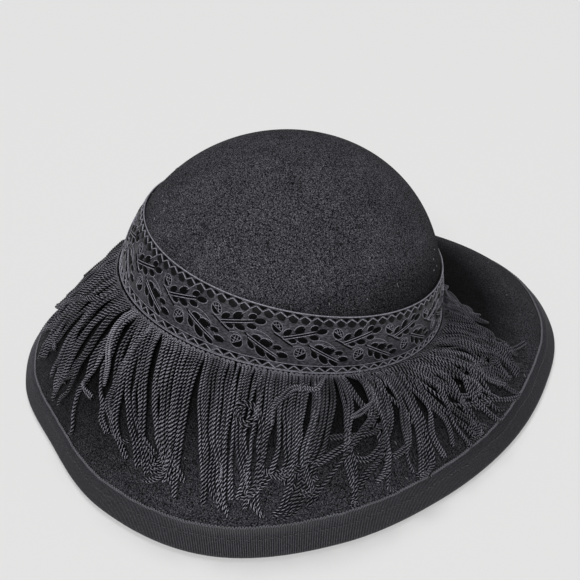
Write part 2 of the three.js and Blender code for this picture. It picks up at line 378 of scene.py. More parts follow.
def ramp(tree, value, stops):
    made = tree.nodes.new("ShaderNodeValToRGB")
    tree.links.new(value, made.inputs["Fac"])
    line = made.color_ramp
    while len(line.elements) < len(stops):
        line.elements.new(0.5)
    for element, (place, color) in zip(line.elements, stops):
        element.position = place
        element.color = (*color, 1)
    return made.outputs["Color"]


def mix(tree, factor, a, b, blend="MIX"):
    made = tree.nodes.new("ShaderNodeMix")
    made.data_type = "RGBA"
    made.blend_type = blend
    for source, socket in ((factor, 0), (a, 6), (b, 7)):
        if isinstance(source, (int, float)):
            made.inputs[socket].default_value = source
        elif isinstance(source, tuple):
            made.inputs[socket].default_value = (*source, 1)
        else:
            tree.links.new(source, made.inputs[socket])
    return made.outputs[2]


def math_node(tree, operation, a, b, clamp=False):
    made = tree.nodes.new("ShaderNodeMath")
    made.operation = operation
    made.use_clamp = clamp
    for source, socket in ((a, 0), (b, 1)):
        if isinstance(source, (int, float)):
            made.inputs[socket].default_value = source
        else:
            tree.links.new(source, made.inputs[socket])
    return made.outputs[0]


def bump(tree, bsdf, height, strength, distance):
    made = tree.nodes.new("ShaderNodeBump")
    made.inputs["Strength"].default_value = strength
    made.inputs["Distance"].default_value = distance
    tree.links.new(height, made.inputs["Height"])
    tree.links.new(made.outputs["Normal"], bsdf.inputs["Normal"])


def object_place(tree):
    return tree.nodes.new("ShaderNodeTexCoord").outputs["Object"]


def stretched(tree, source, move, size):
    """Coordinates moved and scaled on each axis."""
    made = tree.nodes.new("ShaderNodeMapping")
    made.inputs["Location"].default_value = move
    made.inputs["Scale"].default_value = size
    tree.links.new(source, made.inputs["Vector"])
    return made.outputs[0]


def foot_distance(tree, place):
    """Distance from the crown's axis, 1 at the crown's foot."""
    made = tree.nodes.new("ShaderNodeVectorMath")
    made.operation = "LENGTH"
    along, across = CROWN_LENGTH / 2 * MM, CROWN_WIDTH / 2 * MM
    near = stretched(tree, place, (0, -SETBACK * MM / along, 0), (1 / across, 1 / along, 0))
    tree.links.new(near, made.inputs[0])
    return made.outputs["Value"]


def relief_of(tree):
    """What the mesh keeps: how far out of its groove a place is, from 0 to 1, and a cord's painted light and
    shade by root angle times its own random tone.
    """
    apart = tree.nodes.new("ShaderNodeSeparateXYZ")
    tree.links.new(tree.nodes.new("ShaderNodeTexCoord").outputs["UV"], apart.inputs[0])
    return apart.outputs[0], apart.outputs[1]


def felt_material():
    material, tree, bsdf = shader("felt", (0.02, 0.02, 0.024), 0.95)
    bsdf.inputs["Specular IOR Level"].default_value = 0.08
    place = object_place(tree)
    fibres = noise(tree, place, 1150, 3, 0.75)
    flecks = noise(tree, place, 1700, 1, 0.5)
    cloud = noise(tree, place, 45, 3, 0.6)
    ground = ramp(tree, fibres, [(0.44, (0.001, 0.001, 0.002)), (0.59, (0.06, 0.059, 0.07))])
    pale = ramp(tree, flecks, [(0.54, grey(0)), (0.68, grey(1))])
    lit = mix(tree, pale, ground, (0.15, 0.148, 0.165))
    shade = ramp(tree, cloud, [(0.3, grey(0.75)), (0.7, grey(1.1))])
    lit = mix(tree, 1.0, lit, shade, "MULTIPLY")
    # Painted shade: the felt is painted darker towards the bottom, so the brim is darker than the crown.
    height_of = tree.nodes.new("ShaderNodeSeparateXYZ")
    tree.links.new(place, height_of.inputs[0])
    level = math_node(tree, "MULTIPLY", height_of.outputs[2], 10.0, clamp=True)
    painted_low_shade = ramp(tree, level, [(0.5, grey(0.72)), (0.85, grey(1.0))])
    lit = mix(tree, 1.0, lit, painted_low_shade, "MULTIPLY")
    # Painted shadow: a dark ring on the brim under the fringe, from the crown's foot outwards, fading out at
    # about 1.6 times the foot's distance from the axis.
    reach = math_node(tree, "MULTIPLY", foot_distance(tree, place), 0.5, clamp=True)
    under = ramp(tree, reach, [
        (0.44, grey(1)), (0.5, grey(0.08)), (0.66, grey(0.14)), (0.8, grey(1)),
    ])
    tree.links.new(mix(tree, 1.0, lit, under, "MULTIPLY"), bsdf.inputs["Base Color"])
    height = math_node(tree, "ADD", fibres, math_node(tree, "MULTIPLY", cloud, 1.5))
    bump(tree, bsdf, height, 0.6, 0.0004)
    return material


def ribbon_material(name, color, roughness, contrast=0.3, specular=0.5):
    material, tree, bsdf = shader(name, color, roughness, 0.05, 0.4)
    bsdf.inputs["Specular IOR Level"].default_value = specular
    place = object_place(tree)
    threads = noise(tree, place, 1500, 2, 0.6)
    low = tuple(c * (1 - contrast) for c in color)
    high = tuple(c * (1 + contrast) for c in color)
    tree.links.new(ramp(tree, threads, [(0.35, low), (0.68, high)]), bsdf.inputs["Base Color"])
    bump(tree, bsdf, threads, 0.35, 0.0002)
    return material


def ground_material():
    """Woven ribbon whose threads run along the band."""
    material, tree, bsdf = shader("band_ground", (0.042, 0.041, 0.046), 0.5)
    bsdf.inputs["Specular IOR Level"].default_value = 0.25
    flat = tree.nodes.new("ShaderNodeTexCoord").outputs["UV"]
    weave = noise(tree, stretched(tree, flat, (0, 0, 0), (0.5, 1.6, 1)), 1.0, 2, 0.6)
    patches = noise(tree, flat, 0.16, 2, 0.5)
    color = ramp(tree, weave, [(0.36, (0.006, 0.006, 0.007)), (0.66, (0.084, 0.082, 0.1))])
    shade = ramp(tree, patches, [(0.35, grey(0.65)), (0.65, grey(1.15))])
    tree.links.new(mix(tree, 1.0, color, shade, "MULTIPLY"), bsdf.inputs["Base Color"])
    bump(tree, bsdf, weave, 0.35, 0.0002)
    return material


def cord_material():
    material, tree, bsdf = shader("fringe_cord", (0.004, 0.004, 0.005), 0.4)
    bsdf.inputs["Specular IOR Level"].default_value = 0.1
    place = object_place(tree)
    tone = noise(tree, place, 60, 3, 0.6)
    fibre = noise(tree, place, 2500, 2, 0.6)
    relief, light_and_tone = relief_of(tree)
    # Painted highlight on the strands' crests and painted shade in the grooves between them, from how far
    # out of its groove each place is.
    painted_crest_light = ramp(tree, relief, [
        (0.35, (0.0003, 0.0003, 0.0005)), (0.63, (0.018, 0.018, 0.021)), (0.98, (0.5, 0.495, 0.57)),
    ])
    shade = ramp(tree, tone, [(0.32, grey(0.6)), (0.6, grey(1))])
    lit = mix(tree, 1.0, painted_crest_light, shade, "MULTIPLY")
    # Painted light and shade of each cord by its root angle, times its own random tone, as the mesh keeps
    # it.
    own = tree.nodes.new("ShaderNodeCombineXYZ")
    for socket in own.inputs:
        tree.links.new(light_and_tone, socket)
    tree.links.new(mix(tree, 1.0, lit, own.outputs[0], "MULTIPLY"), bsdf.inputs["Base Color"])
    rough = ramp(tree, fibre, [(0.3, grey(0.32)), (0.7, grey(0.5))])
    tree.links.new(rough, bsdf.inputs["Roughness"])
    bump(tree, bsdf, fibre, 0.3, 0.0002)
    return material


def binding_material():
    material, tree, bsdf = shader("binding_ribbon", (0.026, 0.026, 0.03), 0.5)
    bsdf.inputs["Specular IOR Level"].default_value = 0.2
    place = object_place(tree)
    threads = noise(tree, place, 1500, 2, 0.6)
    # Painted highlight on the rib crests and painted shade in the grooves between them.
    painted_rib_light = ramp(tree, relief_of(tree)[0], [(0.3, grey(0.0005)), (0.95, (0.118, 0.116, 0.136))])
    shade = ramp(tree, threads, [(0.35, grey(0.6)), (0.68, grey(1.25))])
    tree.links.new(mix(tree, 1.0, painted_rib_light, shade, "MULTIPLY"), bsdf.inputs["Base Color"])
    bump(tree, bsdf, threads, 0.35, 0.0002)
    return material


FELT = felt_material()
BINDING = binding_material()
PICOT = ribbon_material("binding_picot", (0.13, 0.13, 0.145), 0.5)
THREAD = ribbon_material("binding_thread", (0.045, 0.045, 0.05), 0.5)
GROUND = ground_material()
SHADE = ribbon_material("band_shade", (0.005, 0.005, 0.006), 0.55, 0.6, 0.1)
DARK = ribbon_material("band_motif", (0.0015, 0.0015, 0.002), 0.6, 0.5, 0.05)
LIGHT = ribbon_material("band_thread", (0.26, 0.256, 0.3), 0.45, 0.5, 0.3)
CORD = cord_material()
LINT_FIBRE = ribbon_material("lint_fibre", (0.3, 0.3, 0.32), 0.8)


# Felt: outside and inside of the shell
FELT_COLUMNS = 192
CROWN_ROWS = 40


def make_felt():
    angle = np.arange(FELT_COLUMNS) * 2 * np.pi / FELT_COLUMNS
    table_top = round_row(BAND_TOP_RUNS, angle)
    edge = round_row(EDGE_RUNS, angle)
    band_top_height = place_in(TABLE, angle, table_top)[..., 1]
    rows = []
    for out in (HALF_FELT, -HALF_FELT):
        crown = []
        top = HAT_HEIGHT - HALF_FELT
        count = CROWN_ROWS if out > 0 else CROWN_ROWS // 2
        for k in range(1, count):
            turn = k / count * np.pi / 2
            height = top - (top - band_top_height) * (1 - np.cos(turn))
            step = 0.02
            here = pair(crown_radius(angle, height), height)
            there = pair(crown_radius(angle, height - step), height - step)
            along = (there - here) / np.linalg.norm(there - here, axis=1, keepdims=True)
            radius = here[:, 0] - along[:, 1] * out
            crown.append(spot(angle, radius, height + along[:, 0] * out))
        shares = np.linspace(0, 1, 64 if out > 0 else 26)
        lower = [on_felt(angle, table_top + (edge - table_top) * s, out)[0] for s in shares]
        rows.append(crown + lower)
    ring_list = rows[0] + rows[1][::-1]
    verts = np.concatenate(ring_list)
    count = len(ring_list)
    quads = grid_faces(count, FELT_COLUMNS, False, True)
    tip = np.array([spot(0, 0, HAT_HEIGHT), spot(0, 0, HAT_HEIGHT - 2 * HALF_FELT)])
    k = np.arange(FELT_COLUMNS)
    nxt = (k + 1) % FELT_COLUMNS
    base = len(verts)
    last = (count - 1) * FELT_COLUMNS
    cap = np.stack([np.full_like(k, base), nxt, k], -1)
    lining = np.stack([np.full_like(k, base + 1), last + k, last + nxt], -1)
    verts = np.concatenate([verts, tip])
    add_mesh("felt", verts, [quads[:, ::-1], cap[:, ::-1], lining[:, ::-1]], FELT, "felt", "felt_body")


make_felt()


# Edge binding: ribbed ribbon folded over the brim's edge
RIBS = 1232
RIB_DEPTH = 0.2
STITCHES = 342
PICOT_THREAD = 0.34
STITCH_THREAD = 0.2


def binding_sag(angle):
    """How far the ribbon's inner edge strays from an even width."""
    return 0.25 * np.sin(angle * 37 + 1.1) + 0.18 * np.sin(angle * 91 + 0.4)


def make_binding():
    columns = RIBS * 3
    angle = edge_angles(columns)
    edge = round_row(EDGE_RUNS, angle)
    phase = np.arange(columns) % 3
    rib = np.where(phase == 0, 0.0, -RIB_DEPTH)
    sag = binding_sag(angle)
    point = place_in(TABLE, angle, edge)
    along = place_in(ALONG, angle, edge - 0.2)
    rings = []

    def leg(back, out):
        rings.append(on_felt(angle, edge - back, out)[0])

    def turn(share):
        first = np.arctan2(along[:, 0], -along[:, 1])
        last = -np.pi / 2 + math.atan2(BINDING_FOOT / 2, OVER_RIBBON)
        a = first + (last - first) * share
        r = OVER_RIBBON + rib
        rings.append(spot(angle, point[:, 0] + np.cos(a) * r, point[:, 1] + np.sin(a) * r))

    cover = BINDING_COVER + sag * 0.5
    leg(cover, UNDER_RIBBON - 0.1)
    leg(cover + 0.15, UNDER_RIBBON + 0.3 + rib * 0.5)
    leg(cover - 0.2, 1.9 + rib)
    leg(cover * 0.68, 2.14 + rib)
    leg(cover * 0.58 + sag * 0.3, 2.0 + rib)
    leg(0 * cover, OVER_RIBBON + rib)
    for share in (0.35, 0.75):
        turn(share)
    for side in (1, -1):
        under = np.full(columns, 0.0)
        rings.append(spot(angle, point[:, 0] + side * BINDING_FOOT / 2, under))
    leg(cover * 0.4, -OVER_RIBBON - rib)
    leg(cover, -UNDER_RIBBON - 0.6 - rib)
    leg(cover, -UNDER_RIBBON)
    rings.append(spot(angle, point[:, 0] + 0.6, point[:, 1]))
    verts = np.concatenate(rings)
    quads = grid_faces(len(rings), columns, True, True)
    # 1 on the rib crests and 0 in the grooves, from which the binding material paints highlights and shade.
    relief = np.tile(np.where(phase == 0, 1.0, 0.0), len(rings))
    relief = np.stack([relief, relief], -1)
    add_mesh(
        "brim_binding_ribbon", verts, [quads[:, ::-1]], BINDING, "binding_ribbon", "brim_binding", relief,
    )


def edge_angles(count):
    """Angles that space points evenly along the brim's edge."""
    fine = np.linspace(0, 2 * np.pi, 4001)
    run = round_row(EDGE_RUNS, fine)
    line = on_felt(fine, run, 0)[0]
    length = run_along(line)
    return np.interp(np.arange(count) * length[-1] / count, length, fine)


make_binding()


def make_picots():
    count = RIBS // 2
    centre = edge_angles(count)
    edge = round_row(EDGE_RUNS, centre)
    sag = binding_sag(centre)
    radius = place_in(TABLE, centre, edge - BINDING_COVER)[..., 0]
    t = np.linspace(0, 1, 6)
    swing = np.cos(t * np.pi)[None] * 0.5
    reach = np.sin(t * np.pi)[None] * random.uniform(0.85, 1.25, (count, 1))
    angle = centre[:, None] + swing / radius[:, None]
    back = (BINDING_COVER + sag * 0.5)[:, None] - 0.2 + reach
    out = 1.45 + 0.35 * np.cos(t * np.pi * 2)[None] * 0.5 + 0 * back
    points, outs = on_felt(angle, edge[:, None] - back, out)
    verts, faces = tubes(points, outs, circle(PICOT_THREAD * MM, 3))
    add_mesh("binding_picot_edge", verts, faces, PICOT, "binding_ribbon")


def make_binding_stitches():
    count = STITCHES
    start = edge_angles(count)
    edge = round_row(EDGE_RUNS, start)
    radius = place_in(TABLE, start, edge - 8)[..., 0]
    t = np.linspace(0, 1, 5)
    length = random.uniform(1.9, 2.5, (count, 1))
    drift = 0.35 * np.sin(start * 23) + random.normal(0, 0.15, count)
    slope = random.normal(0, 0.25, (count, 1))
    angle = start[:, None] + t[None] * length / radius[:, None]
    back = 7.6 + drift[:, None] + slope * t[None]
    out = 1.9 + 0.32 * np.sin(t * np.pi)[None] + 0 * back
    points, outs = on_felt(angle, edge[:, None] - back, out)
    verts, faces = tubes(points, outs, circle(STITCH_THREAD * MM, 3))
    add_mesh("binding_stitches", verts, faces, THREAD, "binding_ribbon")


make_picots()
make_binding_stitches()


# Band: woven ribbon round the crown with raised oak leaves, acorns and zigzag borders
UNITS = 18
BAND_OUT = 2.1


def band_lengths():
    fine = np.linspace(0, 2 * np.pi, 4001)
    line = on_felt(fine, round_row(BAND_TOP_RUNS, fine) * 0.5, BAND_OUT)[0]
    return fine, run_along(line)


BAND_ANGLES, BAND_RUNS = band_lengths()
UNIT = BAND_RUNS[-1] / UNITS / MM


def on_band(x, y, out):
    """Point on the band: x millimetres along it, y up from its lower edge, out of its face."""
    x, y, out = np.broadcast_arrays(np.asarray(x, float), y, out)
    run = np.mod(x * MM, BAND_RUNS[-1])
    angle = np.interp(run, BAND_RUNS, BAND_ANGLES)
    down = round_row(BAND_TOP_RUNS, angle) * (y / BAND_WIDTH)
    return on_felt(angle, down, BAND_OUT + out)


def make_band():
    columns = 540
    x = np.arange(columns) * BAND_RUNS[-1] / MM / columns
    wave = 0.1 * np.sin(x * 2 * np.pi / UNIT * 2.0)
    profile = [
        (0.0, -0.7), (-0.15, -0.3), (0.0, 0.05), (0.6, 0.1), (2, 0), (5, 0.05), (9, 0.08), (13, 0.1),
        (17, 0.1), (21, 0.1), (25, 0.05), (28, 0), (30.5, 0), (31.5, 0.1), (31.95, 0.05), (32.05, -0.3),
        (31.9, -0.7), (24, -0.75), (16, -0.75), (8, -0.75),
    ]
    rings = [on_band(x, y, out + (wave if out > -0.1 else 0))[0] for y, out in profile]
    flat = np.concatenate([pair(x, y) for y, out in profile])
    quads = grid_faces(len(rings), columns, True, True)
    add_mesh("band_ribbon", np.concatenate(rings), [quads], GROUND, "band_ribbon", "hat_band", flat)


make_band()


def disc_patch(centre, along, across, turn, rise, columns=14):
    """Domed oval on the band: places and heights, rings first from its middle."""
    r = np.array([0.03, 0.55, 0.92, 1.02])
    h = np.array([rise, rise * 0.88, rise * 0.42, -0.15])
    a = np.arange(columns) * 2 * np.pi / columns
    x = along * r[:, None] * np.cos(a)
    y = across * r[:, None] * np.sin(a)
    c, s = math.cos(turn), math.sin(turn)
    place = np.stack([centre[0] + x * c - y * s, centre[1] + x * s + y * c], -1)
    return place, np.broadcast_to(h[:, None], place.shape[:2])


# Oak leaves: base and end of the midrib, and lobes as share along it, distance beside it, two half
# sizes and turn in degrees
LEAVES = [
    ((-9.4, 18.0), (8.5, 23.2), [
        (0.20, 2.3, 2.3, 1.15, 18), (0.58, 2.5, 2.7, 1.45, 14), (1.00, 1.9, 2.0, 1.15, 8),
        (1.19, -0.4, 2.6, 1.15, -4), (0.27, -2.0, 1.8, 1.0, -22), (0.57, -2.6, 2.5, 1.35, -20),
        (0.90, -2.4, 2.3, 1.15, -16),
    ]),
    ((4.7, 15.9), (20.8, 7.8), [
        (0.28, 2.0, 2.2, 1.2, 24), (0.58, 3.0, 2.9, 1.7, 26), (0.87, 4.3, 2.2, 1.15, 30),
        (1.08, 2.2, 2.6, 1.35, 24), (0.24, -3.0, 1.9, 1.3, -30), (0.54, -2.9, 2.6, 1.55, -20),
        (0.86, -2.0, 2.5, 1.25, -8),
    ]),
]
LOBE_LONG, LOBE_WIDE = 1.22, 1.24
ACORNS = [((0.0, 10.9), 3.1, 0.5), ((-11.8, 23.0), 2.7, -0.6)]
# Stems and tendrils as points on the band
DARK_STEMS = [
    [(-13.6, 19.6), (-10.5, 18.2), (-7.0, 16.0), (-4.0, 14.6)],
    [(4.0, 16.6), (5.4, 15.0), (6.4, 12.9), (7.4, 11.8)],
]
LIGHT_STEMS = [
    [(-13.4, 20.4), (-10.3, 19.0), (-6.8, 16.8), (-3.8, 15.4)],
    [(-3.8, 14.4), (-1.6, 15.2), (1.2, 14.9), (3.0, 13.0)],
    [(9.4, 19.2), (12.6, 19.0), (16.0, 17.7), (19.4, 15.2)],
    [(8.6, 17.0), (11.5, 17.2), (14.6, 16.2), (17.6, 14.6)],
    [(-17.6, 12.6), (-15.0, 12.8), (-12.6, 11.9), (-10.6, 9.9)],
    [(1.6, 24.2), (3.6, 26.0), (5.4, 27.6), (7.0, 29.2)],
]
BAND_SHIFTS = np.arange(UNITS) * UNIT


def smooth_line(points, count):
    """Points along a smooth line through a few places."""
    points = np.array(points, float)
    place = np.linspace(0, len(points) - 1, count)
    i = np.minimum(np.floor(place).astype(int), len(points) - 2)
    t = (place - i)[:, None]
    padded = np.concatenate([[2 * points[0] - points[1]], points, [2 * points[-1] - points[-2]]])
    a, b, c, d = (padded[i + k] for k in range(4))
    return b + ((c - a) * t + (2 * a - 5 * b + 4 * c - d) * t * t + (3 * b - a - 3 * c + d) * t ** 3) / 2


def repeat_patch(place, rise):
    """A raised patch in every unit of the band."""
    rows, columns = place.shape[:2]
    x = place[None, ..., 0] + BAND_SHIFTS[:, None, None]
    y = np.broadcast_to(place[None, ..., 1], x.shape)
    verts = on_band(x, y, np.broadcast_to(rise[None], x.shape))[0].reshape(-1, 3)
    one = grid_faces(rows, columns, False, True, flip=True)
    base = (np.arange(UNITS) * rows * columns)[:, None, None]
    middle = np.arange(columns)[None] + base[:, 0]
    under = middle[:, ::-1] + (rows - 1) * columns
    return verts, [(one[None] + base).reshape(-1, 4), middle, under]


def repeat_thread(line, rise, radius, sides=4):
    """A thread in every unit of the band."""
    x = line[None, :, 0] + BAND_SHIFTS[:, None]
    points, outs = on_band(x, np.broadcast_to(line[:, 1], x.shape), np.broadcast_to(rise, x.shape))
    return tubes(points, outs, circle(radius * MM, sides))


def make_leaf(base, tip, lobes, dark, light):
    base, tip = np.array(base), np.array(tip)
    run = tip - base
    ahead = run / np.linalg.norm(run)
    side = np.array([-ahead[1], ahead[0]])
    lean = math.atan2(run[1], run[0])
    for share, beside, along, across, turn in lobes:
        centre = base + run * share + side * beside
        turn = lean + math.radians(turn)
        along, across = along * LOBE_LONG, across * LOBE_WIDE
        dark.append(repeat_patch(*disc_patch(centre, along, across, turn, 0.36)))
        # a light thread along the lobe's outer edge
        start, stop = (-2.6, 0.2) if beside < 0 else (0.3, 2.6)
        a = np.linspace(start, stop, 8)
        x, y = (along + 0.16) * np.cos(a), (across + 0.16) * np.sin(a)
        c, s = math.cos(turn), math.sin(turn)
        line = centre + np.stack([x * c - y * s, x * s + y * c], -1)
        light.append(repeat_thread(line, 0.1, 0.18, 3))
    middle = disc_patch(base + run * 0.5, np.linalg.norm(run) * 0.56, 1.4, lean, 0.25, 18)
    dark.append(repeat_patch(*middle))
    t = np.linspace(0.02, 1.0, 10)[:, None]
    for hand in (1, -1):
        line = base + run * t + side * hand * 0.62
        light.append(repeat_thread(line, 0.34, 0.19, 4))


def make_acorn(centre, size, tilt, dark, light):
    centre = np.array(centre)
    dark.append(repeat_patch(*disc_patch(centre, size, size, 0, 0.55, 18)))
    for line in (-1.5, -0.1, 1.3):
        reach = math.sqrt(size ** 2 * 0.86 - line ** 2)
        t = np.linspace(-1, 1, 7)[:, None]
        for turn in (0.75, -0.75):
            run = np.array([math.cos(tilt + turn), math.sin(tilt + turn)])
            cross = np.array([-run[1], run[0]])
            row = centre + cross * line + run * reach * t
            up = (row - centre) @ np.array([-math.sin(tilt), math.cos(tilt)])
            keep = np.clip(up, -0.1, None)
            row = row + np.outer(keep - up, np.array([-math.sin(tilt), math.cos(tilt)]))
            far = np.linalg.norm(row - centre, axis=1) / size
            rise = 0.12 + 0.42 * np.sqrt(np.clip(1 - far ** 2, 0, 1))
            light.append(repeat_thread(row, rise, 0.16, 3))
    a = np.linspace(0, 2 * np.pi, 22)
    ring = centre + (size + 0.25) * np.stack([np.cos(a), np.sin(a)], -1)
    light.append(repeat_thread(ring, 0.1, 0.16, 3))


def make_motifs(dark, light):
    for base, tip, lobes in LEAVES:
        make_leaf(base, tip, lobes, dark, light)
    for centre, size, tilt in ACORNS:
        make_acorn(centre, size, tilt, dark, light)
    for stem in DARK_STEMS:
        dark.append(repeat_thread(smooth_line(stem, 10), 0.12, 0.5, 4))
    for stem in LIGHT_STEMS:
        light.append(repeat_thread(smooth_line(stem, 10), 0.12, 0.19, 3))


ZIGS = UNITS * 5
# Zigzag borders: lowest and highest place of the thread
TOP_ZIGZAG = (28.7, 30.6)
FOOT_ZIGZAG = (1.3, 4.2)


def make_triangles(low, high, flip, parts):
    """Dark triangles under the zigzag's peaks, or over its valleys when flipped."""
    pitch = BAND_RUNS[-1] / MM / ZIGS
    s = np.linspace(0, 1, 5)
    u = np.array([-1.0, -0.94, 0, 0.94, 1.0])
    h = np.array([-0.15, 0.1, 0.14, 0.1, -0.15])
    half = (1 - s) * (pitch * 0.5 - 0.45) + 0.05
    foot, top = (high, low) if flip else (low, high)
    x = half[:, None] * u[None]
    y = np.broadcast_to((foot + (top - foot) * s)[:, None], x.shape)
    centre = (np.arange(ZIGS) + 0.5 + 0.5 * flip) * pitch
    place = x[None] + centre[:, None, None]
    verts = on_band(place, np.broadcast_to(y, place.shape), np.broadcast_to(h, place.shape))[0]
    one = grid_faces(5, 5, False, False, flip=bool(flip))
    base = (np.arange(ZIGS) * 25)[:, None, None]
    rim = np.array([0, 1, 2, 3, 4, 9, 14, 19, 24, 23, 22, 21, 20, 15, 10, 5])
    under = rim[:: 1 if flip else -1][None] + base[:, 0]
    parts.append((verts.reshape(-1, 3), [(one[None] + base).reshape(-1, 4), under]))


def make_scallops(parts):
    """Rounded shaded fields under the peaks of the upper zigzag."""
    pitch = BAND_RUNS[-1] / MM / ZIGS
    place, rise = disc_patch((0.5 * pitch, 28.4), 2.6, 2.2, 0, 0.2, 16)
    place[..., 1] = np.minimum(place[..., 1], 30.4 - np.abs(place[..., 0] - 0.5 * pitch) * 0.6)
    for k in range(5):
        moved = place + np.array([k * pitch, 0.0])
        parts.append(repeat_patch(moved, rise))


def make_borders(dark, shade, light):
    pitch = BAND_RUNS[-1] / MM / ZIGS
    start = np.arange(ZIGS)[:, None] * pitch
    for low, high in (TOP_ZIGZAG, FOOT_ZIGZAG):
        t = np.linspace(0, 1, 5)
        for first, last, radius in ((0.0, 0.5, 0.2), (0.5, 1.0, 0.3)):
            x = start + (first + (last - first) * t)[None] * pitch
            rise = t if first == 0 else 1 - t
            y = np.broadcast_to(low + (high - low) * rise, x.shape)
            points, outs = on_band(x, y, 0.2)
            light.append(tubes(points, outs, circle(radius * MM, 4)))
    make_triangles(29.3, 31.3, 1, dark)
    make_triangles(0.9, 3.5, 0, dark)
    make_triangles(2.0, 4.7, 1, dark)
    make_scallops(shade)
    columns = 360
    x = np.arange(columns + 1)[None] * BAND_RUNS[-1] / MM / columns
    # The threads at the band's top and bottom edges, at 31.8 and 0.3, are light to paint the highlight along
    # the ribbon's edges; the other two are lines of the foot border.
    for y, size in ((31.8, 0.34), (0.3, 0.27), (1.0, 0.15), (4.95, 0.16)):
        points, outs = on_band(x, y + 0 * x, 0.12)
        light.append(tubes(points, outs, circle(size * MM, 4)))


def make_band_ornament():
    dark, shade, light = [], [], []
    make_motifs(dark, light)
    make_borders(dark, shade, light)
    add_mesh("band_motifs", *merge(dark), DARK, "band_ribbon")
    add_mesh("band_shaded_scallops", *merge(shade), SHADE, "band_ribbon")
    add_mesh("band_threads", *merge(light), LIGHT, "band_ribbon")


make_band_ornament()


# Fringe: twisted cords that hang from a looped header and lie over the brim
PENDANTS = 188
CORD_STEP = 0.66
CORD_RADIUS = 0.9
CORD_LENGTH = 78
TWIST_STEPS = 6
PENDANT_GAP = 3.2
LEG_OFFSET = 0.86
STRAND_OFFSET = 0.42
STRAND_SIZE = 0.54
CORD_PIECES = 4
CLUMP_MIDDLE = 13
CLUMP_TIP = 10
HEADER_LOOPS = 228
HEADER_RADIUS = 97
HEADER_THREAD = 0.5
# Painted highlight: the crest value the header loops are coloured with
HEADER_PAINTED_HIGHLIGHT = 0.74

# Root angle, lean at the root, at the middle and at the tip in degrees from straight down the brim,
# how much the pendants there wander, their length as a share, and how far they gather in clumps
LEAN_ROWS = [
    (0, 72, 64, 50, 0.9, 0.42, 0.5), (15, 64, 56, 44, 0.9, 0.5, 0.5), (32, 40, 32, 24, 0.7, 0.75, 0.6),
    (50, 12, 8, 4, 0.6, 1, 0.6), (80, -4, -4, -4, 0.6, 1, 0.6), (110, -2, 0, 0, 0.6, 1, 0.6),
    (135, -2, -6, -8, 0.6, 1, 1), (155, -4, -9, -13, 0.6, 1, 1.3), (168, -2, -4, -8, 0.6, 1, 1.3),
    (178, -2, -6, -6, 0.7, 1, 1), (184, 4, 4, 2, 1, 1, 0.6), (189, 24, 30, 32, 0.6, 1, 0.5),
    (197, 24, 28, 29, 0.55, 1, 0.5), (206, 18, 21, 21, 0.55, 1, 0.5), (214, 10, 13, 13, 0.55, 1, 0.5),
    (224, 3, 5, 7, 0.6, 1, 0.5), (235, -2, -5, -7, 0.65, 1, 0.5), (245, -6, -14, -18, 0.7, 1, 0.5),
    (253, -10, -24, -28, 0.7, 1, 0.5), (256, 6, -6, -12, 1, 1, 0.6), (259, 50, 24, 4, 1.1, 1, 0.8),
    (265, 66, 27, 8, 1.3, 1, 0.9), (275, 72, 28, 8, 1.3, 0.95, 1), (285, 64, 24, 6, 1.3, 0.9, 1),
    (295, 52, 18, 0, 1.3, 0.84, 1), (305, 38, 8, -8, 1.4, 0.76, 1), (314, 10, -6, -20, 1.4, 0.68, 1),
    (324, -30, -34, -40, 1.3, 0.58, 0.8), (336, -60, -60, -56, 1.2, 0.46, 0.5),
    (348, -74, -72, -66, 0.9, 0.4, 0.5), (349, 74, 72, 64, 0.9, 0.4, 0.5), (360, 72, 64, 50, 0.9, 0.42, 0.5),
]

# Painted light and shade on the cords: root angle and how much lighter or darker the silk is painted there
CORD_PAINTED_LIGHT = [
    (0, 0.6), (135, 0.6), (160, 0.65), (185, 0.75), (205, 1.05), (240, 1.1), (252, 0.8), (265, 0.5),
    (310, 0.36), (335, 0.4), (360, 0.6),
]

